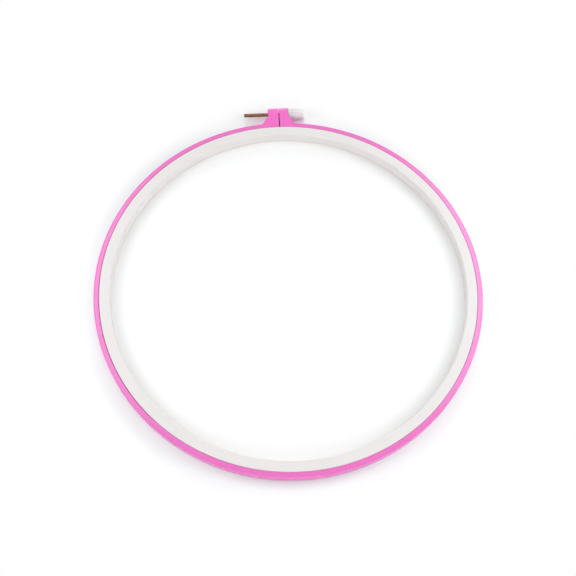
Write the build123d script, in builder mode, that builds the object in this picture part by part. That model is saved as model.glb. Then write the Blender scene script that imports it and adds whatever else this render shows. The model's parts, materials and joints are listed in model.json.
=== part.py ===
"""Embroidery hoop: a split outer ring drawn tight round an inner ring by a knob screw.

Frame: origin at the centre of the hoop at half its height, +Z up along the axis of the
rings. The two lugs of the outer ring point along +Y, and the clamping screw lies along
X with its knob at +X. All lengths are in millimetres.
"""
from build123d import *
import math
import os

# The two rings, which lie one inside the other with level faces
inner_ring_outer_diameter = 254.0
inner_ring_width = 7.0
outer_ring_width = 3.65
ring_height = 8.5
ring_clearance = 0.15
free_edge_radius = 1.0
joint_edge_radius = 0.25

# The two lugs at the split; the left one is thicker, because it holds the nut
left_lug_width = 7.9
right_lug_width = 6.9
lug_reach_to_screw = 10.15
lug_reach_past_screw = 0.3
lug_hole_clearance = 0.2

# Gussets that brace the lugs; each stops just short of what its lug carries
gusset_reach = 4.6
gusset_clearance = 0.6
gusset_corner_radius = 1.5

# The split between the lugs, pinched at its outer end, with a small flare at its mouth
split_width_at_ring = 0.9
split_width_at_end = 0.4
split_mouth_width = 1.4
split_mouth_depth = 0.9

# Hexagon shared by the nut and the head of the screw, across its flats
hex_width = 5.5
hex_corner_chamfer = 0.4

# Captive nut, set into the outer face of the left lug
nut_thickness = 2.4
nut_recess = 0.4
thread_clearance = 0.05

# Clamping screw
screw_diameter = 3.0
screw_free_length = 17.6
screw_tip_chamfer = 0.45
screw_head_height = 3.2

# Washer between the knob and the right lug
washer_diameter = 7.8
washer_thickness = 2.5
washer_bore_clearance = 0.08
washer_edge_radius = 0.3

# Knob, pressed onto the head of the screw: a fluted grip and a plain rounded end
knob_diameter = 8.3
knob_grip_length = 6.0
knob_end_length = 3.2
knob_end_radius = 0.5
knob_edge_radius = 0.35
knob_groove_width = 0.5
knob_groove_depth = 0.2
flute_count = 12
flute_width = 1.4
flute_depth = 0.3

# A cut runs past the face that it opens by this much
overrun = 2.0

# Places that follow from the sizes above
inner_ring_radius = inner_ring_outer_diameter / 2
outer_ring_bore_radius = inner_ring_radius + ring_clearance
outer_ring_radius = outer_ring_bore_radius + outer_ring_width
lug_end_radius = ring_height / 2
screw_y = outer_ring_radius + lug_reach_to_screw
lug_end_centre_y = screw_y + lug_reach_past_screw
lug_end_y = lug_end_centre_y + lug_end_radius
left_lug_face_x = -split_width_at_end / 2 - left_lug_width
right_lug_face_x = split_width_at_end / 2 + right_lug_width
left_gusset_foot_x = left_lug_face_x - gusset_reach
right_gusset_foot_x = right_lug_face_x + gusset_reach
nut_face_x = left_lug_face_x + nut_recess
screw_tip_x = left_lug_face_x - screw_free_length
screw_radius = screw_diameter / 2
washer_radius = washer_diameter / 2
knob_face_x = right_lug_face_x + washer_thickness
knob_radius = knob_diameter / 2
knob_grip_end_x = knob_face_x + knob_grip_length
knob_end_x = knob_grip_end_x + knob_end_length
flute_radius = flute_width / 2
hex_corner_radius = hex_width / math.sqrt(3)

# The axis of the screw, and the plane square to it at x = 0
screw_axis = Axis((0, screw_y, 0), (1, 0, 0))
across_screw = Plane(origin=(0, screw_y, 0), x_dir=(0, 1, 0), z_dir=(1, 0, 0))

os.makedirs("parts", exist_ok=True)

# Inner ring: a plain band with all its edges rounded
with BuildPart() as inner_ring:
    with BuildSketch(Plane.XZ) as inner_section:
        with Locations((inner_ring_radius - inner_ring_width / 2, 0)):
            Rectangle(inner_ring_width, ring_height)
        fillet(inner_section.vertices().group_by(Axis.X)[0], radius=free_edge_radius)
        fillet(inner_section.vertices().group_by(Axis.X)[-1], radius=joint_edge_radius)
    revolve(axis=Axis.Z)
inner_ring.part.label = "inner_ring"
export_step(inner_ring.part, "parts/inner_ring.step")

# Outer ring: a band with two braced lugs, whose ends are half round
with BuildPart() as outer_ring:
    with BuildSketch() as outline:
        Circle(outer_ring_radius)
        lug_pair_centre = ((left_lug_face_x + right_lug_face_x) / 2, lug_end_y / 2)
        with Locations(lug_pair_centre):
            Rectangle(right_lug_face_x - left_lug_face_x, lug_end_y)
        for face_x, foot_x, top_y in (
            (left_lug_face_x, left_gusset_foot_x, screw_y - hex_corner_radius - gusset_clearance),
            (right_lug_face_x, right_gusset_foot_x, screw_y - washer_radius - gusset_clearance),
        ):
            foot_y = math.sqrt(outer_ring_radius**2 - foot_x**2)
            with BuildLine():
                Polyline((face_x, 0), (face_x, top_y), (foot_x, foot_y), close=True)
            make_face()
        gusset_corners = outline.vertices().sort_by(Axis.Y)[-6:-2]
        fillet(gusset_corners, radius=gusset_corner_radius)
        Circle(outer_ring_bore_radius, mode=Mode.SUBTRACT)
    extrude(amount=ring_height / 2, both=True)
    with BuildSketch(Plane.YZ) as side_profile:
        with Locations(((lug_end_centre_y - lug_end_y) / 2, 0)):
            Rectangle(lug_end_centre_y + lug_end_y, ring_height)
        with Locations((lug_end_centre_y, 0)):
            Circle(lug_end_radius)
    extrude(amount=lug_end_y, both=True, mode=Mode.INTERSECT)

    # Round the free edges along the band and round both lugs, then those at the joint
    level_faces = outer_ring.faces().filter_by(Axis.Z)
    free_edges = ShapeList(
        edge for face in level_faces for edge in face.outer_wire().edges()
    ).filter_by(Axis.X, reverse=True)
    free_edges += outer_ring.faces().filter_by(Axis.X).edges().filter_by(GeomType.CIRCLE)
    fillet(free_edges, radius=free_edge_radius)
    bore_edges = ShapeList(
        edge
        for face in outer_ring.faces().filter_by(Axis.Z)
        for wire in face.inner_wires()
        for edge in wire.edges()
    )
    fillet(bore_edges, radius=joint_edge_radius)

    # The split
    with BuildSketch() as split:
        with BuildLine() as split_edge:
            Polyline(
                (0, outer_ring_bore_radius - overrun),
                (split_width_at_ring / 2, outer_ring_bore_radius - overrun),
                (split_width_at_ring / 2, outer_ring_bore_radius),
                (split_width_at_end / 2, lug_end_y - split_mouth_depth),
                (split_mouth_width / 2, lug_end_y),
                (split_mouth_width / 2, lug_end_y + overrun),
                (0, lug_end_y + overrun),
                close=True,
            )
        make_face()
        mirror(about=Plane.YZ)
    extrude(amount=ring_height / 2, both=True, mode=Mode.SUBTRACT)

    # The screw's hole through both lugs, and the pocket of the nut
    with BuildSketch(across_screw):
        Circle(screw_radius + lug_hole_clearance)
    extrude(amount=lug_end_y, both=True, mode=Mode.SUBTRACT)
    with BuildSketch(across_screw.offset(left_lug_face_x - overrun)):
        RegularPolygon(hex_width / 2, side_count=6, major_radius=False)
    extrude(amount=overrun + nut_recess + nut_thickness, mode=Mode.SUBTRACT)
outer_ring.part.label = "outer_ring"
export_step(outer_ring.part, "parts/outer_ring.step")

# Captive nut: a hexagon with its corners taken off at both faces
with BuildPart() as lug_nut:
    with BuildSketch() as nut_profile:
        with Locations((nut_face_x + nut_thickness / 2, screw_y + hex_corner_radius / 2)):
            Rectangle(nut_thickness, hex_corner_radius)
        outer_corners = nut_profile.vertices().group_by(Axis.Y)[-1]
        chamfer(outer_corners, length=hex_corner_chamfer)
    revolve(axis=screw_axis)
    with BuildSketch(across_screw.offset(nut_face_x)):
        RegularPolygon(hex_width / 2, side_count=6, major_radius=False)
    extrude(amount=nut_thickness, mode=Mode.INTERSECT)
    with BuildSketch(across_screw.offset(nut_face_x)):
        Circle(screw_radius + thread_clearance)
    extrude(amount=nut_thickness, mode=Mode.SUBTRACT)
lug_nut.part.label = "lug_nut"
export_step(lug_nut.part, "parts/lug_nut.step")

# Clamping screw: a hexagonal head, hidden in the knob, on a long shank
with BuildPart() as clamp_screw:
    with BuildSketch() as head_profile:
        head_middle_x = knob_face_x + screw_head_height / 2
        with Locations((head_middle_x, screw_y + hex_corner_radius / 2)):
            Rectangle(screw_head_height, hex_corner_radius)
        far_corner = head_profile.vertices().group_by(Axis.Y)[-1].sort_by(Axis.X)[-1]
        chamfer(far_corner, length=hex_corner_chamfer)
    revolve(axis=screw_axis)
    with BuildSketch(across_screw.offset(knob_face_x)):
        RegularPolygon(hex_width / 2, side_count=6, major_radius=False)
    extrude(amount=screw_head_height, mode=Mode.INTERSECT)
    with BuildSketch(across_screw.offset(screw_tip_x)):
        Circle(screw_radius)
    extrude(amount=knob_face_x - screw_tip_x)
    tip_edge = clamp_screw.edges().filter_by(GeomType.CIRCLE).sort_by(Axis.X)[0]
    chamfer(tip_edge, length=screw_tip_chamfer)
clamp_screw.part.label = "clamp_screw"
export_step(clamp_screw.part, "parts/clamp_screw.step")

# Washer that the knob turns on
with BuildPart() as knob_washer:
    with BuildSketch(across_screw.offset(right_lug_face_x)):
        Circle(washer_radius)
    extrude(amount=washer_thickness)
    fillet(knob_washer.edges().filter_by(GeomType.CIRCLE), radius=washer_edge_radius)
    with BuildSketch(across_screw.offset(right_lug_face_x)):
        Circle(screw_radius + washer_bore_clearance)
    extrude(amount=washer_thickness, mode=Mode.SUBTRACT)
knob_washer.part.label = "knob_washer"
export_step(knob_washer.part, "parts/knob_washer.step")

# Knob: turned outline with a groove behind the grip, then flutes and the head's pocket
with BuildPart() as knob:
    with BuildSketch() as knob_profile:
        with Locations(((knob_face_x + knob_end_x) / 2, screw_y + knob_radius / 2)):
            Rectangle(knob_end_x - knob_face_x, knob_radius)
        rim_corners = knob_profile.vertices().group_by(Axis.Y)[-1].sort_by(Axis.X)
        fillet(rim_corners[0], radius=knob_edge_radius)
        fillet(rim_corners[-1], radius=knob_end_radius)
        with Locations((knob_grip_end_x, screw_y + knob_radius)):
            Rectangle(knob_groove_width, 2 * knob_groove_depth, mode=Mode.SUBTRACT)
    revolve(axis=screw_axis)
    with BuildSketch(across_screw.offset(knob_face_x)):
        with PolarLocations(knob_radius + flute_radius - flute_depth, flute_count):
            Circle(flute_radius)
    extrude(amount=knob_grip_length, mode=Mode.SUBTRACT)
    with BuildSketch(across_screw.offset(knob_face_x)):
        RegularPolygon(hex_width / 2, side_count=6, major_radius=False)
    extrude(amount=screw_head_height, mode=Mode.SUBTRACT)
knob.part.label = "knob"
export_step(knob.part, "parts/knob.step")
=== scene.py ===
"""Embroidery hoop: two moulded rings, drawn together by a knob screw, on a white table.

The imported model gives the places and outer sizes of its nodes. The pieces here stand for
those nodes with finer shapes and the finishes of the real plastic and brass. Their small
sizes, such as gaps, gussets, edges and the thread, are fields that follow the solids. All
lengths are in metres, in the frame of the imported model: +Z up along the axis of the rings,
the two lugs towards +Y, and the screw along X with its knob at +X.
"""
import enum
import json
import logging
import math
from dataclasses import dataclass
from typing import Any, Callable

import bmesh
import bpy
from mathutils import Matrix, Vector

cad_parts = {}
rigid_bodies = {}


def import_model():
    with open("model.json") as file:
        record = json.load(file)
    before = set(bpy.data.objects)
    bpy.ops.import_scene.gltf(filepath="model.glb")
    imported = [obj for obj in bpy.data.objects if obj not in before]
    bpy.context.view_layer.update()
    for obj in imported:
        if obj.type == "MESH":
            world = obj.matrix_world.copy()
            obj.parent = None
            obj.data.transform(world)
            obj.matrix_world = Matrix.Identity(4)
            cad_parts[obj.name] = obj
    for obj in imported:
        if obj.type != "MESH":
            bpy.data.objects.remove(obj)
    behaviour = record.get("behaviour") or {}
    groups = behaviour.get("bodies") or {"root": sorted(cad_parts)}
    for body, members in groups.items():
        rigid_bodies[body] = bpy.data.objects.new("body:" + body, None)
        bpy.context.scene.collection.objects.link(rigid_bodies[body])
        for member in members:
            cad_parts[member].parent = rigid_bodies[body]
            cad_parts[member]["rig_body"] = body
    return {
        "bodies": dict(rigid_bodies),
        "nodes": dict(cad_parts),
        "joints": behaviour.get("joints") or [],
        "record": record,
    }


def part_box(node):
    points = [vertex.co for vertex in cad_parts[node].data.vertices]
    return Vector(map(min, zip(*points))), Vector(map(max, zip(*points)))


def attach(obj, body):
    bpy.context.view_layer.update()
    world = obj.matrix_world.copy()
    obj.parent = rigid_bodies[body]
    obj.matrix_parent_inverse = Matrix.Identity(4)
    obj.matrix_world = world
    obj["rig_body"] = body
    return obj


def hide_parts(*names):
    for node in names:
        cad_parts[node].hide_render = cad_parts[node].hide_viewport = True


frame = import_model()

log = logging.getLogger("hoop")

MM = 0.001
TOUCH = 1e-6
CUT_TOUCH = TOUCH / 10
SMOOTH_BELOW = math.radians(32.0)
SHARP_ABOVE = math.radians(50.0)
HEX_SIDES = 6
NOISE_MIDDLE = 0.5

Colour = tuple[float, float, float]


class Body(enum.Enum):
    """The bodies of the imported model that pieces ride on."""

    OUTER = "outer_ring"
    INNER = "inner_ring"
    WASHER = "knob_washer"
    SCREW = "clamp_screw"


class Slot(enum.Enum):
    """The record's material slots."""

    OUTER = "outer_ring_plastic"
    INNER = "inner_ring_plastic"
    BRASS = "brass"
    KNOB = "knob_plastic"


class Carve(enum.Enum):
    """What a carving tool leaves of a piece."""

    OUTSIDE = "DIFFERENCE"
    SHARED = "INTERSECT"


# ---- Shader maths ----


class Wire:
    """An output socket on which arithmetic adds Math nodes."""

    def __init__(self, sheet: "Sheet", socket: bpy.types.NodeSocket) -> None:
        """Keeps the socket and the sheet that it belongs to."""
        self.sheet = sheet
        self.socket = socket

    def maths(self, operation: str, *terms: "Wire | float") -> "Wire":
        """Adds a Math node over these terms."""
        return self.sheet.node("ShaderNodeMath", {"operation": operation}, dict(enumerate(terms)))

    def __add__(self, other: "Wire | float") -> "Wire":
        """Adds two values."""
        return self.maths("ADD", self, other)

    def __radd__(self, other: float) -> "Wire":
        """Adds a wire to a number."""
        return self.maths("ADD", other, self)

    def __sub__(self, other: "Wire | float") -> "Wire":
        """Takes a value from this one."""
        return self.maths("SUBTRACT", self, other)

    def __rsub__(self, other: float) -> "Wire":
        """Takes this value from a number."""
        return self.maths("SUBTRACT", other, self)

    def __mul__(self, other: "Wire | float") -> "Wire":
        """Multiplies two values."""
        return self.maths("MULTIPLY", self, other)

    def __rmul__(self, other: float) -> "Wire":
        """Multiplies a number by this value."""
        return self.maths("MULTIPLY", other, self)

    def __truediv__(self, other: "Wire | float") -> "Wire":
        """Divides this value."""
        return self.maths("DIVIDE", self, other)

    def __rtruediv__(self, other: float) -> "Wire":
        """Divides a number by this value."""
        return self.maths("DIVIDE", other, self)

    def __pow__(self, other: "Wire | float") -> "Wire":
        """Raises this value to a power."""
        return self.maths("POWER", self, other)

    def __abs__(self) -> "Wire":
        """Drops the sign of this value."""
        return self.maths("ABSOLUTE", self)

    def held(self) -> "Wire":
        """Holds this value between 0 and 1."""
        return self.sheet.node("ShaderNodeClamp", {}, {0: self})


class Sheet:
    """A node tree that is being laid out."""

    def __init__(self, tree: bpy.types.NodeTree) -> None:
        """Clears the tree and keeps it."""
        tree.nodes.clear()
        self.tree = tree

    def node(
        self,
        kind: str,
        settings: dict[str, Any] | None = None,
        inputs: dict[int | str, Any] | None = None,
        output: int | str = 0,
    ) -> Wire | None:
        """Adds a node.

        Args:
            kind: The node's type.
            settings: What is set on the node first, such as a Math node's operation.
            inputs: Values or wires, by a socket's number, identifier or name.
            output: The output that is wanted, in the same way.

        Returns:
            The wire of that output, or None for a node that has no outputs.
        """
        made = self.tree.nodes.new(kind)
        for name, value in (settings or {}).items():
            setattr(made, name, value)
        for key, value in (inputs or {}).items():
            socket = self._socket(made.inputs, key)
            if isinstance(value, Wire):
                self.tree.links.new(value.socket, socket)
            else:
                socket.default_value = value
        return Wire(self, self._socket(made.outputs, output)) if made.outputs else None

    def blend(self, factor: Wire | float, first: Any, second: Any) -> Wire:
        """Mixes two colours.

        Args:
            factor: 0 gives the first colour and 1 the second.
            first: A wire or an RGB colour.
            second: A wire or an RGB colour.

        Returns:
            The mixed colour.
        """
        return self.node(
            "ShaderNodeMix",
            {"data_type": "RGBA"},
            {"Factor_Float": factor, "A_Color": opaque(first), "B_Color": opaque(second)},
            "Result_Color",
        )

    def place(self) -> Wire:
        """The point in the object's own coordinates."""
        return self.node("ShaderNodeTexCoord", output="Object")

    def axis(self, vector: Wire, name: str) -> Wire:
        """One coordinate of a vector, by its letter."""
        return self.node("ShaderNodeSeparateXYZ", inputs={0: vector}, output=name)

    def noise(self, vector: Wire, scale: float, detail: float = 2.0) -> Wire:
        """Soft noise from 0 to 1, with features about 1/scale metres across."""
        return self.node(
            "ShaderNodeTexNoise", inputs={"Vector": vector, "Scale": scale, "Detail": detail}
        )

    def bump(self, height: Wire, distance: float) -> Wire:
        """Turns a height from 0 to 1, worth a distance in metres, into a normal."""
        inputs = {"Height": height, "Distance": distance}
        return self.node("ShaderNodeBump", inputs=inputs, output="Normal")

    def seen(self) -> Wire:
        """1 where a surface is seen, also in a reflection, and 0 where it only gives light."""
        ways = ("Is Camera Ray", "Is Glossy Ray", "Is Transmission Ray")
        return sum(self.node("ShaderNodeLightPath", output=way) for way in ways).held()

    def principled(self, inputs: dict[str, Any]) -> Wire:
        """The main shader, with these inputs."""
        return self.node("ShaderNodeBsdfPrincipled", inputs=inputs)

    def show(self, shader: Wire) -> None:
        """Makes a shader the surface of the material."""
        self.node("ShaderNodeOutputMaterial", inputs={"Surface": shader})

    @staticmethod
    def _socket(sockets: Any, key: int | str) -> bpy.types.NodeSocket:
        """Finds a socket by number, identifier or name."""
        if isinstance(key, int):
            return sockets[key]
        return next((s for s in sockets if s.identifier == key), None) or sockets[key]


def opaque(colour: Any) -> Any:
    """Adds full alpha to a plain RGB colour, and leaves a wire as it is."""
    return colour if isinstance(colour, Wire) else (*colour, 1.0)


# ---- Finishes ----


@dataclass(frozen=True)
class MouldedPlastic:
    """Glossy injection-moulded plastic, with soft flow shades and a fine skin.

    Towards +Y, past a given place, the colour turns a richer pink over a given reach.
    """

    name: str
    colour: Colour
    shade: Colour
    roughness: float
    richer_colour: Colour | None = None
    richer_from_y: float = 0.0
    richer_reach: float = 5.0 * MM
    subsurface: float = 0.0
    subsurface_reach: float = 1.0 * MM
    subsurface_tint: Colour = (1.0, 0.9, 0.8)
    refraction: float = 1.49
    flow_scale: float = 32.0
    flow_detail: float = 3.0
    flow_contrast: float = 1.6
    flow_threshold: float = 0.3
    flow_roughness: float = 0.1
    grain_scale: float = 2400.0
    grain_height: float = 1.2e-6
    grain_roughness: float = 0.16
    wave_scale: float = 128.0
    wave_detail: float = 1.0
    wave_height: float = 1.6e-5
    seam_half_width: float = 0.09 * MM
    seam_height: float = 3.0e-5
    seam_shade: float = 0.25
    has_seam: bool = False

    def material(self) -> bpy.types.Material:
        """Lays out the material.

        Returns:
            The material.
        """
        made, sheet = new_material(self.name)
        place = sheet.place()
        flow = sheet.noise(place, self.flow_scale, self.flow_detail)
        grain = sheet.noise(place, self.grain_scale)
        wave = sheet.noise(place, self.wave_scale, self.wave_detail)
        shading = (flow * self.flow_contrast - self.flow_threshold).held()
        colour = sheet.blend(shading, self.colour, self.shade)
        if self.richer_colour:
            # The colour turns richer towards +Y, over the lugs.
            richer = ((sheet.axis(place, "Y") - self.richer_from_y) / self.richer_reach).held()
            colour = sheet.blend(richer, colour, self.richer_colour)
        height = grain * (self.grain_height / self.wave_height) + wave
        if self.has_seam:
            seam = (1.0 - abs(sheet.axis(place, "Z")) / self.seam_half_width).held()
            height = height + seam * (self.seam_height / self.wave_height)
            colour = sheet.blend(seam * self.seam_shade, colour, self.shade)
        skin = self.roughness + (grain - NOISE_MIDDLE) * self.grain_roughness
        inputs = {
            "Base Color": colour,
            "Roughness": skin + (flow - NOISE_MIDDLE) * self.flow_roughness,
            "IOR": self.refraction,
            "Subsurface Weight": self.subsurface,
            "Subsurface Radius": self.subsurface_tint,
            "Subsurface Scale": self.subsurface_reach,
            "Normal": sheet.bump(height, self.wave_height),
        }
        sheet.show(sheet.principled(inputs))
        return made


@dataclass(frozen=True)
class RolledBrass:
    """Coppery brass, with a painted shade that darkens the roots of its thread, and lighter and
    smoother crests.
    """

    name: str
    crest_colour: Colour
    painted_root_shade: Colour
    tarnish: Colour
    axis_y: float
    root_radius: float
    crest_radius: float
    roughness: float = 0.28
    crest_smoothing: float = 0.06
    patina_scale: float = 420.0
    patina_detail: float = 4.0
    patina_contrast: float = 2.2
    patina_threshold: float = 0.8
    patina_share: float = 0.6
    patina_roughness: float = 0.3
    grain_scale: float = 6000.0
    grain_height: float = 2.0e-6

    def material(self) -> bpy.types.Material:
        """Lays out the material.

        Returns:
            The material.
        """
        made, sheet = new_material(self.name)
        place = sheet.place()
        across = sheet.axis(place, "Y") - self.axis_y
        radius = (across * across + sheet.axis(place, "Z") ** 2.0) ** 0.5
        # Painted shade: 0 in the roots of the thread, where the colour is darkened, and 1 on the
        # crests, which are also smoother.
        root_shade_to_crest = ((radius - self.root_radius) / (self.crest_radius - self.root_radius)).held()
        patina = sheet.noise(place, self.patina_scale, self.patina_detail)
        grain = sheet.noise(place, self.grain_scale)
        dulled = (patina * self.patina_contrast - self.patina_threshold).held()
        colour = sheet.blend(root_shade_to_crest, self.painted_root_shade, self.crest_colour)
        skin = self.roughness + (patina - NOISE_MIDDLE) * self.patina_roughness
        inputs = {
            "Base Color": sheet.blend(dulled * self.patina_share, colour, self.tarnish),
            "Metallic": 1.0,
            "Roughness": skin - root_shade_to_crest * self.crest_smoothing,
            "Normal": sheet.bump(grain, self.grain_height),
        }
        sheet.show(sheet.principled(inputs))
        return made


@dataclass(frozen=True)
class TableWhite:
    """A smooth white table top that runs out into a plain white background.

    Round the foot of the rim it is painted a little greener, against the pink light that the
    rim throws on it, which keeps the rim's shadow grey, and inside the opening a painted
    shadow darkens it towards the wall.
    """

    name: str
    colour: Colour
    foot_counter_tint: Colour
    painted_inner_shadow: Colour
    roughness: float
    cloud_scale: float = 3.0
    cloud_roughness: float = 0.05
    foot_reach: float = 20.0 * MM
    foot_edge: float = 1.0 * MM
    inner_shadow_start: float = 33.0 * MM
    inner_shadow_end: float = 11.0 * MM
    fade_start: float = 0.14
    fade_end: float = 0.2

    def material(self, rim_radius: float) -> bpy.types.Material:
        """Lays out the material.

        Args:
            rim_radius: The outer radius of the ring that stands on the table.

        Returns:
            The material.
        """
        made, sheet = new_material(self.name)
        place = sheet.place()
        cloud = sheet.noise(place, self.cloud_scale)
        away = sheet.node(
            "ShaderNodeVectorMath", {"operation": "LENGTH"}, {0: place}, output="Value"
        )
        fade = ((away - self.fade_start) / (self.fade_end - self.fade_start)).held()
        beyond = away - rim_radius
        outside = (beyond / self.foot_edge + 1.0).held()
        # Painted counter-tint: round the foot of the rim the table turns greener, against the pink
        # light that the rim throws there.
        foot = (1.0 - beyond / self.foot_reach).held() ** 2.0 * outside
        # Painted shadow: inside the opening the table is darkened, most towards the foot of the
        # inner wall.
        inner = ((beyond + self.inner_shadow_start) / (self.inner_shadow_start - self.inner_shadow_end)).held()
        colour = sheet.blend(foot, self.colour, self.foot_counter_tint)
        inputs = {
            "Base Color": sheet.blend(inner * (1.0 - outside), colour, self.painted_inner_shadow),
            "Roughness": self.roughness + (cloud - NOISE_MIDDLE) * self.cloud_roughness,
        }
        top = sheet.principled(inputs)
        background = sheet.node("ShaderNodeEmission", inputs={"Strength": 1.0})
        surface = sheet.node(
            "ShaderNodeMixShader", inputs={0: fade * sheet.seen(), 1: top, 2: background}
        )
        sheet.show(surface)
        return made


def new_material(name: str) -> tuple[bpy.types.Material, Sheet]:
    """Makes an empty material.

    Args:
        name: The material's name.

    Returns:
        The material and the sheet of its nodes.
    """
    made = bpy.data.materials.new(name)
    made.use_nodes = True
    return made, Sheet(made.node_tree)


# ---- Mesh work ----


def as_object(name: str, shape: bmesh.types.BMesh) -> bpy.types.Object:
    """Turns a shape into an object at the origin.

    Args:
        name: The object's name.
        shape: The shape, which is used up.

    Returns:
        The object, linked to the scene.
    """
    mesh = bpy.data.meshes.new(name)
    shape.to_mesh(mesh)
    shape.free()
    made = bpy.data.objects.new(name, mesh)
    bpy.context.scene.collection.objects.link(made)
    return made


def carve(piece: bpy.types.Object, tool: bmesh.types.BMesh, way: Carve) -> None:
    """Works a closed tool shape into a piece.

    Args:
        piece: The object that is carved.
        tool: The closed shape, which is used up.
        way: Whether what is outside the tool stays, or what the two share.
    """
    cutter = as_object("cutter", tool)
    change = piece.modifiers.new("carve", "BOOLEAN")
    change.operation, change.solver, change.object = way.value, "EXACT", cutter
    depsgraph = bpy.context.evaluated_depsgraph_get()
    carved = bpy.data.meshes.new_from_object(piece.evaluated_get(depsgraph))
    piece.modifiers.remove(change)
    before, piece.data = piece.data, carved
    used = cutter.data
    bpy.data.objects.remove(cutter)
    bpy.data.meshes.remove(used)
    bpy.data.meshes.remove(before)


def finish_piece(
    piece: bpy.types.Object,
    finish: MouldedPlastic | RolledBrass,
    body: Body,
    slot: Slot,
    node: str,
) -> bpy.types.Object:
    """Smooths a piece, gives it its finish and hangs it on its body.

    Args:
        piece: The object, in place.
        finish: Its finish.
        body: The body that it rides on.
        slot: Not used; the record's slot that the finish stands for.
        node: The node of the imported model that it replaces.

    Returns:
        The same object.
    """
    piece.data.shade_smooth()
    piece.data.set_sharp_from_angle(angle=SMOOTH_BELOW)
    level = piece.modifiers.new("flat_faces_stay_flat", "WEIGHTED_NORMAL")
    level.keep_sharp = True
    piece.data.materials.clear()
    piece.data.materials.append(finish.material())
    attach(piece, body.value)
    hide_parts(node)
    return piece


def verts_in(parts: list[Any]) -> list[bmesh.types.BMVert]:
    """The corners among the parts that an operator gave back."""
    return [part for part in parts if isinstance(part, bmesh.types.BMVert)]


def edges_in(parts: list[Any]) -> list[bmesh.types.BMEdge]:
    """The edges among the parts that an operator gave back."""
    return [part for part in parts if isinstance(part, bmesh.types.BMEdge)]


def weld(shape: bmesh.types.BMesh) -> None:
    """Joins the corners that lie on one another."""
    bmesh.ops.remove_doubles(shape, verts=shape.verts[:], dist=TOUCH)


def face_outwards(shape: bmesh.types.BMesh) -> None:
    """Turns every face of a closed shape outwards."""
    bmesh.ops.recalc_face_normals(shape, faces=shape.faces[:])


def close_holes(shape: bmesh.types.BMesh) -> None:
    """Fills every opening of a shape."""
    bmesh.ops.holes_fill(shape, edges=[e for e in shape.edges if e.is_boundary], sides=0)


def draw_wire(
    shape: bmesh.types.BMesh, centre: Vector, outline: list[tuple[float, float]]
) -> list[Any]:
    """Draws an outline beside the screw's axis, ready to be spun.

    Args:
        shape: The shape that the wire is added to.
        centre: The point on the axis where the place along it is 0.
        outline: (place along the axis, radius) points, in order.

    Returns:
        The wire's corners and edges.
    """
    verts = [shape.verts.new(centre + Vector((x, radius, 0))) for x, radius in outline]
    return verts + [shape.edges.new(pair) for pair in zip(verts, verts[1:])]


def spin_wire(
    shape: bmesh.types.BMesh, outline: list[tuple[float, float]], centre: Vector, steps: int
) -> None:
    """Turns an outline once about the screw's axis into a closed skin.

    Args:
        shape: The shape that the skin is added to.
        outline: (place along the axis, radius) points, in order.
        centre: The point on the axis where the place along it is 0.
        steps: The number of facets in the turn.
    """
    bmesh.ops.spin(
        shape,
        geom=draw_wire(shape, centre, outline),
        cent=centre,
        axis=(1, 0, 0),
        angle=math.tau,
        steps=steps,
        use_merge=True,
    )
    weld(shape)
    face_outwards(shape)


def spoke_to(vert: bmesh.types.BMVert, centre: Vector) -> Vector:
    """The line from the screw's axis straight out to a corner."""
    return Vector((0, vert.co.y - centre.y, vert.co.z - centre.z))


def draw_in(vert: bmesh.types.BMVert, spoke: Vector, limit: float) -> None:
    """Draws a corner in along its spoke to a radius, if it lies beyond it."""
    if spoke.length > limit:
        vert.co -= spoke * (1 - limit / spoke.length)


def round_edges(
    shape: bmesh.types.BMesh,
    edges: list[bmesh.types.BMEdge],
    radius: float,
    segments: int,
) -> None:
    """Rounds edges to a radius.

    Args:
        shape: The shape that the edges belong to.
        edges: The edges that are rounded.
        radius: The radius of the rounding.
        segments: The number of facets across it.
    """
    bmesh.ops.bevel(
        shape,
        geom=edges,
        offset=radius,
        offset_type="OFFSET",
        segments=segments,
        profile=0.5,
        affect="EDGES",
        clamp_overlap=False,
        material=-1,
    )


def sharp_edges(
    shape: bmesh.types.BMesh, chosen: Callable[[Vector], bool]
) -> list[bmesh.types.BMEdge]:
    """Finds sharp edges of a closed shape.

    Args:
        shape: The shape.
        chosen: A test that both ends of an edge have to pass.

    Returns:
        The edges.
    """
    return [
        e
        for e in shape.edges
        if len(e.link_faces) == 2
        and e.calc_face_angle() > SHARP_ABOVE
        and all(chosen(v.co) for v in e.verts)
    ]


class Pen:
    """Draws a chain of edges in a shape, one stretch after another."""

    def __init__(self, shape: bmesh.types.BMesh, start: Vector) -> None:
        """Sets the pen down at a point."""
        self.shape = shape
        self.tip = bmesh.ops.create_vert(shape, co=start)["vert"][0]

    def line(self, end: Vector, steps: int) -> None:
        """Draws a straight stretch.

        Args:
            end: Where it ends.
            steps: The number of edges in it.
        """
        stride = (end - self.tip.co) / steps
        for _ in range(steps):
            self.tip = bmesh.ops.extrude_vert_indiv(self.shape, verts=[self.tip])["verts"][0]
            bmesh.ops.translate(self.shape, verts=[self.tip], vec=stride)

    def arc(self, centre: Vector, angle: float, steps: int) -> None:
        """Draws a round stretch.

        Args:
            centre: The centre that it runs round.
            angle: How far it turns, positive for counter-clockwise as seen from above.
            steps: The number of edges in it.
        """
        made = bmesh.ops.spin(
            self.shape, geom=[self.tip], cent=centre, axis=(0, 0, 1), angle=angle, steps=steps
        )
        self.tip = made["geom_last"][0]


# ---- Where things are ----


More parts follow.
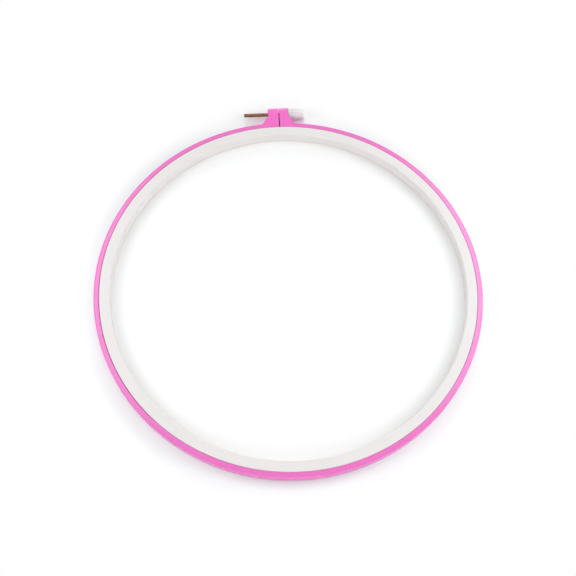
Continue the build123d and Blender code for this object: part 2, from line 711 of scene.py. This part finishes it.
@dataclass(frozen=True)
class HoopPlan:
    """The places that the pieces share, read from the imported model."""

    half_height: float
    opening_radius: float
    joint_radius: float
    rim_radius: float
    lug_end_y: float
    screw: Vector
    nut_span: tuple[float, float]
    washer_span: tuple[float, float]
    knob_span: tuple[float, float]
    screw_tip_x: float
    hex_half_width: float
    washer_radius: float
    knob_radius: float

    @property
    def hex_corner_radius(self) -> float:
        """The radius to the corners of the nut and of the screw's head."""
        return self.hex_half_width / math.cos(math.pi / HEX_SIDES)

    @property
    def screw_centre(self) -> Vector:
        """The point on the screw's axis at x = 0."""
        return Vector((0, self.screw.y, self.screw.z))

    @classmethod
    def read(cls, packed: dict[str, Any]) -> "HoopPlan":
        """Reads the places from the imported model.


        Returns:
            The plan.
        """
        inner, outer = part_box("inner_ring"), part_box("outer_ring")
        nut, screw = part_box("lug_nut"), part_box("clamp_screw")
        washer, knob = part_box("knob_washer"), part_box("knob")
        opening = next(m for m in packed["record"]["mounts"] if m["kind"] == "bore")
        turn = next(j for j in packed["joints"] if j["type"] == "hinge")
        return cls(
            half_height=inner[1].z,
            opening_radius=opening["dims"]["r_mm"] * MM,
            joint_radius=inner[1].x,
            rim_radius=outer[1].x,
            lug_end_y=outer[1].y,
            screw=Vector(turn["pos_m"]),
            nut_span=(nut[0].x, nut[1].x),
            washer_span=(washer[0].x, washer[1].x),
            knob_span=(knob[0].x, knob[1].x),
            screw_tip_x=screw[0].x,
            hex_half_width=nut[1].z,
            washer_radius=washer[1].z,
            knob_radius=knob[1].z,
        )


# ---- Sub-assemblies ----


@dataclass
class InnerRing:
    """The plain off-white ring that the cloth is stretched over."""

    plan: HoopPlan
    finish: MouldedPlastic
    steps: int = 480
    free_edge_radius: float = 1.0 * MM
    joint_edge_radius: float = 0.25 * MM
    edge_segments: int = 7

    def build(self) -> bpy.types.Object:
        """Builds the ring and dresses it.

        Returns:
            The ring.
        """
        shape = bmesh.new()
        plan = self.plan
        width = plan.joint_radius - plan.opening_radius
        middle = (plan.opening_radius + plan.joint_radius) / 2
        upright = (
            Matrix.Translation((middle, 0, 0))
            @ Matrix.Rotation(math.pi / 2, 4, "X")
            @ Matrix.Diagonal((width, 2 * plan.half_height, 1, 1))
        )
        bmesh.ops.create_grid(shape, x_segments=1, y_segments=1, size=0.5, matrix=upright)
        bmesh.ops.delete(shape, geom=shape.faces[:], context="FACES_ONLY")
        bmesh.ops.spin(
            shape,
            geom=shape.verts[:] + shape.edges[:],
            cent=(0, 0, 0),
            axis=(0, 0, 1),
            angle=math.tau,
            steps=self.steps,
            use_merge=True,
        )
        weld(shape)
        face_outwards(shape)
        free = sharp_edges(shape, lambda p: p.xy.length < middle)
        round_edges(shape, free, self.free_edge_radius, self.edge_segments)
        joint = sharp_edges(shape, lambda p: p.xy.length > middle)
        round_edges(shape, joint, self.joint_edge_radius, self.edge_segments)
        ring = as_object("inner_hoop", shape)
        return finish_piece(ring, self.finish, Body.INNER, Slot.INNER, "inner_ring")


@dataclass(frozen=True)
class Gusset:
    """The straight brace between the band and one lug, seen from above on the right side."""

    face_x: float
    top_y: float
    reach: float
    corner_radius: float
    rim_radius: float

    @property
    def slope(self) -> Vector:
        """The direction down the flank, from the lug to the rim."""
        foot_x = self.face_x + self.reach
        foot_y = math.sqrt(self.rim_radius**2 - foot_x**2)
        return Vector((self.reach, foot_y - self.top_y, 0)).normalized()

    @property
    def outward(self) -> Vector:
        """The direction square to the flank, away from the plastic."""
        return Vector((-self.slope.y, self.slope.x, 0))

    @property
    def top_turn(self) -> float:
        """How far the outline turns where the lug's face meets the flank."""
        return math.atan2(self.slope.x, -self.slope.y)

    @property
    def top_centre(self) -> Vector:
        """The centre of the round corner at the top of the flank."""
        tangent = self.corner_radius * math.tan(self.top_turn / 2)
        return Vector((self.face_x + self.corner_radius, self.top_y + tangent, 0))

    @property
    def foot_centre(self) -> Vector:
        """The centre of the round corner between the flank and the rim."""
        start = Vector((self.face_x, self.top_y, 0)) + self.outward * self.corner_radius
        away = start.dot(self.slope)
        reach = self.rim_radius + self.corner_radius
        return start - self.slope * (away + math.sqrt(away**2 - start.length_squared + reach**2))

    @property
    def foot_turn(self) -> float:
        """How far the outline turns between the flank and the rim."""
        return self.outward.xy.angle_signed(self.foot_centre.xy) * -1

    @property
    def rim_angle(self) -> float:
        """The angle from +Y at which the corner at the foot runs out on the rim."""
        return math.atan2(self.foot_centre.x, self.foot_centre.y)

    @property
    def flank_start(self) -> Vector:
        """Where the flank leaves its upper corner."""
        return self.top_centre - self.outward * self.corner_radius

    @property
    def flank_end(self) -> Vector:
        """Where the flank meets its lower corner."""
        return self.foot_centre - self.outward * self.corner_radius


@dataclass
class OuterRing:
    """The pink split ring with its two lugs."""

    plan: HoopPlan
    finish: MouldedPlastic
    joint_gap: float = 0.15 * MM
    gusset_reach: float = 4.6 * MM
    gusset_clearance: float = 0.6 * MM
    gusset_corner_radius: float = 1.5 * MM
    split_at_ring: float = 0.9 * MM
    split_at_end: float = 0.4 * MM
    mouth_width: float = 1.4 * MM
    mouth_depth: float = 0.9 * MM
    nut_recess: float = 0.4 * MM
    hole_radius: float = 1.7 * MM
    hole_steps: int = 48
    free_edge_radius: float = 1.0 * MM
    joint_edge_radius: float = 0.35 * MM
    split_edge_radius: float = 0.12 * MM
    ring_steps: int = 480
    corner_steps: int = 10
    flank_steps: int = 4
    face_steps: int = 6
    end_steps: int = 32
    edge_segments: int = 7
    split_edge_segments: int = 2

    @property
    def bore_radius(self) -> float:
        """The radius of the wall that grips the inner ring."""
        return self.plan.joint_radius + self.joint_gap

    @property
    def left_face_x(self) -> float:
        """The outer face of the left lug, which the nut is sunk into."""
        return self.plan.nut_span[0] - self.nut_recess

    @property
    def right_face_x(self) -> float:
        """The outer face of the right lug, which the washer bears on."""
        return self.plan.washer_span[0]

    @property
    def end_centre(self) -> Vector:
        """The centre of the half-round ends of the lugs."""
        return Vector((0, self.plan.lug_end_y - self.plan.half_height, 0))

    def build(self) -> bpy.types.Object:
        """Builds the ring and dresses it.

        Returns:
            The ring.
        """
        shape = bmesh.new()
        self._lay_band(shape)
        self._round_lug_ends(shape)
        for side in (-1, 1):
            self._open_mouth(shape, side)
        self._soften(shape)
        ring = as_object("outer_hoop", shape)
        self._drill(ring)
        return finish_piece(ring, self.finish, Body.OUTER, Slot.OUTER, "outer_ring")

    def _gusset(self, face_x: float, carried_radius: float) -> Gusset:
        """Lays out the gusset of one lug.

        Args:
            face_x: The outer face of the lug.
            carried_radius: The radius of what the lug carries, which the gusset stops short of.

        Returns:
            The gusset, as seen on the right side.
        """
        return Gusset(
            face_x=abs(face_x),
            top_y=self.plan.screw.y - carried_radius - self.gusset_clearance,
            reach=self.gusset_reach,
            corner_radius=self.gusset_corner_radius,
            rim_radius=self.plan.rim_radius,
        )

    def _split_x(self, y: float) -> float:
        """Half the width of the split, short of its mouth.

        Args:
            y: The place along the split.

        Returns:
            Half its width there.
        """
        narrowing = (self.split_at_ring - self.split_at_end) / 2
        length = self.plan.lug_end_y - self.mouth_depth - self.bore_radius
        return self.split_at_ring / 2 - narrowing * (y - self.bore_radius) / length

    def _lay_band(self, shape: bmesh.types.BMesh) -> None:
        """Lays the band and the lugs up to their round ends as one closed bar of quads.

        Args:
            shape: The empty shape that they are laid in.
        """
        top = Vector((0, 0, self.plan.half_height))
        to_left = Vector((-1, 1, 1))
        right = self._gusset(self.right_face_x, self.plan.washer_radius)
        left = self._gusset(self.left_face_x, self.plan.hex_corner_radius)
        ring_angle = math.tau - right.rim_angle - left.rim_angle
        end_y = self.end_centre.y

        outer = Pen(shape, Vector((right.face_x, end_y, 0)) + top)
        outer.line(Vector((right.face_x, right.top_centre.y, 0)) + top, self.face_steps)
        outer.arc(right.top_centre, right.top_turn, self.corner_steps)
        outer.line(right.flank_end + top, self.flank_steps)
        outer.arc(right.foot_centre, right.foot_turn, self.corner_steps)
        outer.arc(Vector(), -ring_angle, self.ring_steps)
        outer.arc(left.foot_centre * to_left, left.foot_turn, self.corner_steps)
        outer.line(left.flank_start * to_left + top, self.flank_steps)
        outer.arc(left.top_centre * to_left, left.top_turn, self.corner_steps)
        outer.line(Vector((-left.face_x, end_y, 0)) + top, self.face_steps)

        corner = Vector((self.split_at_ring / 2, 0, 0))
        corner.y = math.sqrt(self.bore_radius**2 - corner.x**2)
        corner_angle = math.atan2(corner.x, corner.y)
        end = Vector((self._split_x(end_y), end_y, 0))
        brace_steps = 2 * self.corner_steps + self.flank_steps
        inner = Pen(shape, end + top)
        inner.line(corner + top, self.face_steps)
        inner.arc(Vector(), corner_angle - right.rim_angle, brace_steps)
        inner.arc(Vector(), -ring_angle, self.ring_steps)
        inner.arc(Vector(), corner_angle - left.rim_angle, brace_steps)
        inner.line(end * to_left + top, self.face_steps)

        bmesh.ops.bridge_loops(shape, edges=shape.edges[:])
        lower = bmesh.ops.extrude_face_region(shape, geom=shape.faces[:])["geom"]
        depth = (0, 0, -2 * self.plan.half_height)
        bmesh.ops.translate(shape, verts=verts_in(lower), vec=depth)

    def _round_lug_ends(self, shape: bmesh.types.BMesh) -> None:
        """Carries both lugs on to half-round ends.

        Args:
            shape: The bar of band and lugs.
        """
        centre = self.end_centre

        def at_end(vert: bmesh.types.BMVert) -> bool:
            """Whether a corner lies where the round ends begin."""
            return abs(vert.co.y - centre.y) < TOUCH

        walls = [f for f in shape.faces if all(at_end(v) for v in f.verts)]
        bmesh.ops.delete(shape, geom=walls, context="FACES_ONLY")
        for side in (-1, 1):
            seam = [
                e
                for e in shape.edges
                if all(at_end(v) and v.co.z > 0 and v.co.x * side > 0 for v in e.verts)
            ]
            bmesh.ops.spin(
                shape,
                geom=seam + list({v for e in seam for v in e.verts}),
                cent=centre,
                axis=(1, 0, 0),
                angle=-math.pi,
                steps=self.end_steps,
            )
        weld(shape)
        close_holes(shape)
        face_outwards(shape)

    def _open_mouth(self, shape: bmesh.types.BMesh, side: int) -> None:
        """Cuts the corner off one lug where the split opens at its far end.

        Args:
            shape: The bar of band and lugs.
            side: 1 for the lug towards +X, -1 for the other.
        """
        near_y = self.plan.lug_end_y - self.mouth_depth
        near = Vector((side * self._split_x(near_y), near_y, 0))
        far = Vector((side * self.mouth_width / 2, self.plan.lug_end_y, 0))
        along = far - near
        verts = {
            v for v in shape.verts if v.co.x * side > 0 and v.co.y > self.end_centre.y - TOUCH
        }
        edges = [e for e in shape.edges if all(v in verts for v in e.verts)]
        faces = [f for f in shape.faces if all(v in verts for v in f.verts)]
        cut = bmesh.ops.bisect_plane(
            shape,
            geom=list(verts) + edges + faces,
            dist=TOUCH,
            plane_co=near,
            plane_no=(-side * along.y, side * along.x, 0),
            clear_outer=True,
        )
        bmesh.ops.holes_fill(shape, edges=edges_in(cut["geom_cut"]), sides=0)
        face_outwards(shape)

    def _soften(self, shape: bmesh.types.BMesh) -> None:
        """Rounds the free edges, the edges at the joint and the edges of the split.

        Args:
            shape: The closed shape of band and lugs.
        """

        def at_split(p: Vector) -> bool:
            """Whether a point lies on the walls of the split or of its mouth."""
            return p.y > 0 and abs(p.x) < self.mouth_width

        def at_bore(p: Vector) -> bool:
            """Whether a point lies on the wall that grips the inner ring."""
            return p.xy.length < self.bore_radius + TOUCH

        free = sharp_edges(shape, lambda p: not at_split(p) and not at_bore(p))
        round_edges(shape, free, self.free_edge_radius, self.edge_segments)
        joint = [
            e for e in sharp_edges(shape, at_bore) if abs(e.verts[0].co.z - e.verts[1].co.z) < TOUCH
        ]
        round_edges(shape, joint, self.joint_edge_radius, self.edge_segments)
        split = sharp_edges(shape, at_split)
        round_edges(shape, split, self.split_edge_radius, self.split_edge_segments)
        face_outwards(shape)

    def _drill(self, ring: bpy.types.Object) -> None:
        """Makes the screw's hole through both lugs, and the nut's pocket in the left one.

        Args:
            ring: The ring that is drilled.
        """
        reach = 2 * self.right_face_x
        hole = prism(self.plan, -reach, reach, self.hole_radius, self.hole_steps)
        carve(ring, hole, Carve.OUTSIDE)
        floor_x = self.plan.nut_span[1]
        pocket = hex_prism(self.plan, 2 * self.left_face_x - floor_x, floor_x)
        carve(ring, pocket, Carve.OUTSIDE)


def prism(
    plan: HoopPlan, start_x: float, end_x: float, radius: float, sides: int
) -> bmesh.types.BMesh:
    """A regular prism about the screw, with corners towards +Y and -Y.

    Args:
        plan: The shared places.
        start_x: Where it starts along the screw.
        end_x: Where it ends.
        radius: The radius to its corners.
        sides: The number of its sides.

    Returns:
        The closed shape.
    """
    shape = bmesh.new()
    place = Matrix.Translation(Vector(((start_x + end_x) / 2, plan.screw.y, plan.screw.z)))
    bmesh.ops.create_cone(
        shape,
        cap_ends=True,
        segments=sides,
        radius1=radius,
        radius2=radius,
        depth=end_x - start_x,
        matrix=place @ Matrix.Rotation(math.pi / 2, 4, "Y"),
    )
    return shape


def hex_prism(plan: HoopPlan, start_x: float, end_x: float) -> bmesh.types.BMesh:
    """The hexagonal prism of the nut and of the screw's head, between two places."""
    return prism(plan, start_x, end_x, plan.hex_corner_radius, HEX_SIDES)


@dataclass
class LugNut:
    """The hexagonal nut in the pocket of the left lug."""

    plan: HoopPlan
    finish: RolledBrass
    corner_chamfer: float = 0.4 * MM
    bore_radius: float = 1.55 * MM
    bore_chamfer: float = 0.3 * MM
    steps: int = 96

    def build(self) -> bpy.types.Object:
        """Builds the nut and dresses it.

        Returns:
            The nut.
        """
        plan = self.plan
        start, end = plan.nut_span
        corner = plan.hex_corner_radius
        nut = as_object("captive_nut", hex_prism(plan, start, end))
        lead = corner - self.corner_chamfer
        rim = [(start, 0), (start, lead), (start + self.corner_chamfer, corner + TOUCH)]
        rim += [(end - self.corner_chamfer, corner + TOUCH), (end, lead), (end, 0)]
        carve(nut, self._turned(rim), Carve.SHARED)
        mouth = self.bore_radius + self.bore_chamfer
        bore = [(start - TOUCH, 0), (start - TOUCH, mouth)]
        bore += [(start + self.bore_chamfer, self.bore_radius)]
        bore += [(end - self.bore_chamfer, self.bore_radius)]
        bore += [(end + TOUCH, mouth), (end + TOUCH, 0)]
        carve(nut, self._turned(bore), Carve.OUTSIDE)
        return finish_piece(nut, self.finish, Body.OUTER, Slot.BRASS, "lug_nut")

    def _turned(self, outline: list[tuple[float, float]]) -> bmesh.types.BMesh:
        """Turns an outline about the screw.

        Args:
            outline: (place along the screw, radius) points, in order.

        Returns:
            The closed tool.
        """
        shape = bmesh.new()
        spin_wire(shape, outline, self.plan.screw_centre, self.steps)
        return shape


@dataclass
class ClampScrew:
    """The long brass screw with its rolled thread and the head hidden in the knob."""

    plan: HoopPlan
    finish: RolledBrass
    crest_radius: float = 1.5 * MM
    thread_depth: float = 0.3 * MM
    pitch: float = 0.5 * MM
    crest_share: float = 0.24
    root_share: float = 0.16
    tip_chamfer: float = 0.45 * MM
    head_length: float = 3.2 * MM
    steps_per_turn: int = 36
    spare_turns: int = 2

    def build(self) -> bpy.types.Object:
        """Builds the screw and dresses it.

        Returns:
            The screw.
        """
        shape = bmesh.new()
        self._roll_thread(shape)
        self._taper_tip(shape)
        self._form_head(shape)
        face_outwards(shape)
        screw = as_object("long_screw", shape)
        return finish_piece(screw, self.finish, Body.SCREW, Slot.BRASS, "clamp_screw")

    def _roll_thread(self, shape: bmesh.types.BMesh) -> None:
        """Sweeps one pitch of the thread's outline round a right-hand helix, then repeats it.

        Args:
            shape: The empty shape that the thread is rolled in.
        """
        root, crest = self.crest_radius - self.thread_depth, self.crest_radius
        flank = (1 - self.crest_share - self.root_share) / 2
        stops = [0.0, self.root_share, self.root_share + flank]
        stops += [self.root_share + flank + self.crest_share, 1.0]
        spare = self.spare_turns * self.pitch
        start = self.plan.screw_tip_x - spare
        radii = (root, root, crest, crest, root)
        outline = [(start + share * self.pitch, radius) for share, radius in zip(stops, radii)]
        centre = self.plan.screw_centre
        bmesh.ops.spin(
            shape,
            geom=draw_wire(shape, centre, outline),
            cent=centre,
            axis=(1, 0, 0),
            dvec=(self.pitch / self.steps_per_turn, 0, 0),
            angle=math.tau,
            steps=self.steps_per_turn,
        )
        length = self.pitch
        while start + length < self.plan.knob_span[0] + spare:
            turns = shape.verts[:] + shape.edges[:] + shape.faces[:]
            copied = bmesh.ops.duplicate(shape, geom=turns)["geom"]
            bmesh.ops.translate(shape, verts=verts_in(copied), vec=(length, 0, 0))
            length *= 2
        weld(shape)

    def _cut_square(
        self, shape: bmesh.types.BMesh, x: float, outward: int
    ) -> list[bmesh.types.BMEdge]:
        """Cuts the thread square and drops what lies beyond.

        Args:
            shape: The thread.
            x: Where it is cut.
            outward: 1 to drop what lies towards +X, -1 for -X.

        Returns:
            The edges of the cut.
        """
        cut = bmesh.ops.bisect_plane(
            shape,
            geom=shape.verts[:] + shape.edges[:] + shape.faces[:],
            dist=CUT_TOUCH,
            plane_co=(x, 0, 0),
            plane_no=(outward, 0, 0),
            clear_outer=True,
        )
        return edges_in(cut["geom_cut"])

    def _taper_tip(self, shape: bmesh.types.BMesh) -> None:
        """Closes the free end and tapers its first threads.

        Args:
            shape: The thread.
        """
        tip_x = self.plan.screw_tip_x
        bmesh.ops.holes_fill(shape, edges=self._cut_square(shape, tip_x, -1), sides=0)
        for vert in shape.verts:
            limit = self.crest_radius - self.tip_chamfer + vert.co.x - tip_x
            draw_in(vert, spoke_to(vert, self.plan.screw_centre), limit)

    def _form_head(self, shape: bmesh.types.BMesh) -> None:
        """Spreads the other end out into the hexagonal head.

        Args:
            shape: The thread.
        """
        rim = self._cut_square(shape, self.plan.knob_span[0], 1)
        flange = bmesh.ops.extrude_edge_only(shape, edges=rim)["geom"]
        flange_verts = set(verts_in(flange))
        for vert in flange_verts:
            spoke = spoke_to(vert, self.plan.screw_centre)
            from_corner = math.remainder(math.atan2(spoke.z, spoke.y), math.tau / HEX_SIDES)
            from_flat = math.pi / HEX_SIDES - abs(from_corner)
            reach = self.plan.hex_half_width / math.cos(from_flat)
            vert.co += spoke * (reach / spoke.length - 1)
        border = [e for e in edges_in(flange) if all(v in flange_verts for v in e.verts)]
        sides = bmesh.ops.extrude_edge_only(shape, edges=border)["geom"]
        bmesh.ops.translate(shape, verts=verts_in(sides), vec=(self.head_length, 0, 0))
        close_holes(shape)


@dataclass
class KnobWasher:
    """The white collar between the knob and the right lug."""

    plan: HoopPlan
    finish: MouldedPlastic
    bore_radius: float = 1.58 * MM
    edge_radius: float = 0.3 * MM
    edge_segments: int = 5
    steps: int = 144

    def build(self) -> bpy.types.Object:
        """Builds the washer and dresses it.

        Returns:
            The washer.
        """
        shape = bmesh.new()
        start, end = self.plan.washer_span
        rim = self.plan.washer_radius
        outline = [(start, self.bore_radius), (start, rim), (end, rim), (end, self.bore_radius)]
        outline.append(outline[0])
        centre = self.plan.screw_centre
        spin_wire(shape, outline, centre, self.steps)
        edges = sharp_edges(shape, lambda p: (p - centre).yz.length > rim - TOUCH)
        round_edges(shape, edges, self.edge_radius, self.edge_segments)
        washer = as_object("collar", shape)
        return finish_piece(washer, self.finish, Body.WASHER, Slot.KNOB, "knob_washer")


@dataclass
class Knob:
    """The milky white knob: a fluted grip, a groove and a plain rounded end."""

    plan: HoopPlan
    finish: MouldedPlastic
    grip_length: float = 6.0 * MM
    groove_width: float = 0.5 * MM
    groove_depth: float = 0.2 * MM
    end_radius: float = 0.5 * MM
    end_segments: int = 10
    face_edge_radius: float = 0.35 * MM
    face_edge_segments: int = 4
    head_length: float = 3.2 * MM
    flutes: int = 12
    flute_radius: float = 0.7 * MM
    flute_depth: float = 0.3 * MM
    steps_per_flute: int = 20

    def build(self) -> bpy.types.Object:
        """Builds the knob and dresses it.

        Returns:
            The knob.
        """
        shape = bmesh.new()
        start, end = self.plan.knob_span
        rim = self.plan.knob_radius
        near = start + self.grip_length - self.groove_width / 2
        far = near + self.groove_width
        floor = rim - self.groove_depth
        outline = [(start, 0), (start, rim), (near, rim), (near, floor)]
        outline += [(far, floor), (far, rim), (end, rim), (end, 0)]
        centre = self.plan.screw_centre
        spin_wire(shape, outline, centre, self.flutes * self.steps_per_flute)
        for x, radius, segments in (
            (start, self.face_edge_radius, self.face_edge_segments),
            (end, self.end_radius, self.end_segments),
        ):

            def at_rim(p: Vector) -> bool:
                """Whether a point lies on the rim of this end."""
                return abs(p.x - x) < TOUCH and (p - centre).yz.length > rim - TOUCH

            round_edges(shape, sharp_edges(shape, at_rim), radius, segments)
        self._press_flutes(shape, near)
        knob = as_object("knob_grip", shape)
        pocket = hex_prism(self.plan, start - self.head_length, start + self.head_length)
        carve(knob, pocket, Carve.OUTSIDE)
        return finish_piece(knob, self.finish, Body.SCREW, Slot.KNOB, "knob")

    def _press_flutes(self, shape: bmesh.types.BMesh, grip_end: float) -> None:
        """Draws the grip's skin in along round flutes.

        Args:
            shape: The turned knob.
            grip_end: Where the grip ends along the screw.
        """
        flute_centre = self.plan.knob_radius + self.flute_radius - self.flute_depth
        spacing = math.tau / self.flutes
        for vert in shape.verts:
            spoke = spoke_to(vert, self.plan.screw_centre)
            if vert.co.x > grip_end + TOUCH or spoke.length < TOUCH:
                continue
            angle = math.atan2(spoke.z, spoke.y)
            offset = angle - spacing * round(angle / spacing)
            chord = self.flute_radius**2 - (flute_centre * math.sin(offset)) ** 2
            if chord <= 0:
                continue
            draw_in(vert, spoke, flute_centre * math.cos(offset) - math.sqrt(chord))


# ---- Studio ----


@dataclass(frozen=True)
class SoftLamp:
    """A square soft lamp that faces the middle of the hoop.

    A veil is seen in glossy surfaces alone, like a card hung for its reflection.
    """

    name: str
    place: tuple[float, float, float]
    size: float
    power: float
    colour: Colour = (1.0, 1.0, 1.0)
    is_veil: bool = False

    def hang(self) -> None:
        """Hangs the lamp, out of sight of the camera."""
        light = bpy.data.lights.new(self.name, "AREA")
        light.shape, light.size = "SQUARE", self.size
        light.color, light.energy = self.colour, self.power
        lamp = bpy.data.objects.new(self.name, light)
        lamp.location = self.place
        lamp.rotation_euler = (-Vector(self.place)).to_track_quat("-Z", "Y").to_euler()
        lamp.visible_camera = False
        lamp.visible_diffuse = not self.is_veil
        bpy.context.scene.collection.objects.link(lamp)


VEIL = (0.62, 1.0, 0.94)
LAMPS = (
    SoftLamp("low_right", (0.9, 0.0, 0.35), 0.6, 1.15),
    SoftLamp("low_back", (0.0, 0.9, 0.35), 0.6, 2.92),
    SoftLamp("low_front", (0.0, -0.9, 0.35), 0.6, 2.9),
    SoftLamp("near_right", (0.42, 0.0, 0.26), 0.36, 1.08),
    SoftLamp("near_left", (-0.42, 0.0, 0.26), 0.36, 1.08),
    SoftLamp("close_front", (0.0, -0.27, 0.15), 0.2, 0.07),
    SoftLamp("overhead", (0.04, 0.43, 0.91), 0.2, 0.35),
    SoftLamp("veil_right", (0.4, 0.42, 0.91), 0.42, 3.4, VEIL, is_veil=True),
    SoftLamp("veil_left", (-0.31, 0.42, 0.91), 0.42, 2.2, VEIL, is_veil=True),
)


@dataclass
class Studio:
    """The white table, the soft lamps and the camera."""

    plan: HoopPlan
    table: TableWhite
    lamps: tuple[SoftLamp, ...]
    table_half_size: float = 3.0
    table_cells: int = 8
    lens: float = 54.84
    sensor: float = 36.0
    clip: tuple[float, float] = (0.01, 20.0)
    camera_distance: float = 0.599
    camera_elevation: float = math.radians(65.463)
    camera_azimuth: float = math.radians(5.912)
    camera_roll: float = math.radians(3.093)
    aim: tuple[float, float] = (-0.000585, 0.000858)
    sky_zenith: float = 0.655

    def build(self) -> None:
        """Builds the table, the light and the camera."""
        self._lay_table()
        self._light_sky()
        for lamp in self.lamps:
            lamp.hang()
        self._set_camera()
        bpy.context.scene.view_settings.view_transform = "Standard"

    def _lay_table(self) -> None:
        """Lays the table top under the rings."""
        shape = bmesh.new()
        bmesh.ops.create_grid(
            shape,
            x_segments=self.table_cells,
            y_segments=self.table_cells,
            size=self.table_half_size,
            matrix=Matrix.Translation((0, 0, -self.plan.half_height)),
        )
        table = as_object("table_top", shape)
        table.data.materials.append(self.table.material(self.plan.rim_radius))

    def _light_sky(self) -> None:
        """Lights the room softly from overhead, and shows it as white."""
        world = bpy.data.worlds.new("studio")
        world.use_nodes = True
        sheet = Sheet(world.node_tree)
        up = sheet.axis(sheet.node("ShaderNodeTexCoord", output="Generated"), "Z").held()
        level = up * up * self.sky_zenith
        strength = level + sheet.seen() * (1.0 - level)
        white = {"Color": (1.0, 1.0, 1.0, 1.0), "Strength": strength}
        sky = sheet.node("ShaderNodeBackground", inputs=white)
        sheet.node("ShaderNodeOutputWorld", inputs={"Surface": sky})
        bpy.context.scene.world = world

    def _set_camera(self) -> None:
        """Sets the camera at the photographed angle."""
        camera = bpy.data.cameras.new("camera")
        camera.lens, camera.sensor_width = self.lens, self.sensor
        camera.clip_start, camera.clip_end = self.clip
        eye = bpy.data.objects.new("camera", camera)
        tilt = Matrix.Rotation(math.pi / 2 - self.camera_elevation, 4, "X")
        swing = Matrix.Rotation(-self.camera_azimuth, 4, "Z")
        roll = Matrix.Rotation(self.camera_roll, 4, "Z")
        back = tilt @ Vector((0, 0, self.camera_distance))
        spot = swing @ (back + Vector((*self.aim, 0)))
        spot.z -= self.plan.half_height
        eye.matrix_world = Matrix.Translation(spot) @ swing @ tilt @ roll
        bpy.context.scene.collection.objects.link(eye)
        bpy.context.scene.camera = eye


PINK = MouldedPlastic(
    name="pink_plastic",
    colour=(0.815, 0.16, 0.54),
    shade=(0.775, 0.143, 0.50),
    roughness=0.26,
    # A richer pink towards +Y, over the lugs.
    richer_colour=(0.90, 0.14, 0.565),
    richer_from_y=0.127,
    subsurface=0.08,
    has_seam=True,
)
OFF_WHITE = MouldedPlastic(
    name="off_white_plastic",
    colour=(0.789, 0.757, 0.748),
    shade=(0.759, 0.727, 0.718),
    roughness=0.5,
    subsurface=0.15,
    has_seam=True,
)
MILKY = MouldedPlastic(
    name="milky_plastic",
    colour=(0.80, 0.805, 0.785),
    shade=(0.76, 0.765, 0.75),
    roughness=0.3,
    subsurface=0.7,
    subsurface_reach=3.0 * MM,
)
TABLE = TableWhite(
    name="table_white",
    colour=(0.97, 0.97, 0.97),
    # Painted green tint against the rim's pink light on the table.
    foot_counter_tint=(0.82, 0.98, 0.90),
    # Painted shadow inside the opening.
    painted_inner_shadow=(0.925, 0.915, 0.915),
    roughness=0.45,
)


def main() -> None:
    """Builds the sub-assemblies in order, then the studio."""
    logging.basicConfig(level=logging.INFO, format="%(name)s: %(message)s")
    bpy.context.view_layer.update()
    plan = HoopPlan.read(frame)
    brass = RolledBrass(
        name="rolled_brass",
        crest_colour=(0.58, 0.34, 0.25),
        # Painted shade in the roots of the thread.
        painted_root_shade=(0.12, 0.05, 0.035),
        tarnish=(0.18, 0.09, 0.062),
        axis_y=plan.screw.y,
        root_radius=1.2 * MM,
        crest_radius=1.5 * MM,
    )
    assemblies = (
        InnerRing(plan, OFF_WHITE),
        OuterRing(plan, PINK),
        LugNut(plan, brass),
        ClampScrew(plan, brass),
        KnobWasher(plan, MILKY),
        Knob(plan, MILKY),
    )
    for assembly in assemblies:
        piece = assembly.build()
        faces = len(piece.data.polygons)
        log.info("%s: %d faces, rides on %s", piece.name, faces, piece["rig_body"])
    Studio(plan, TABLE, LAMPS).build()


if __name__ == "__main__":
    main()
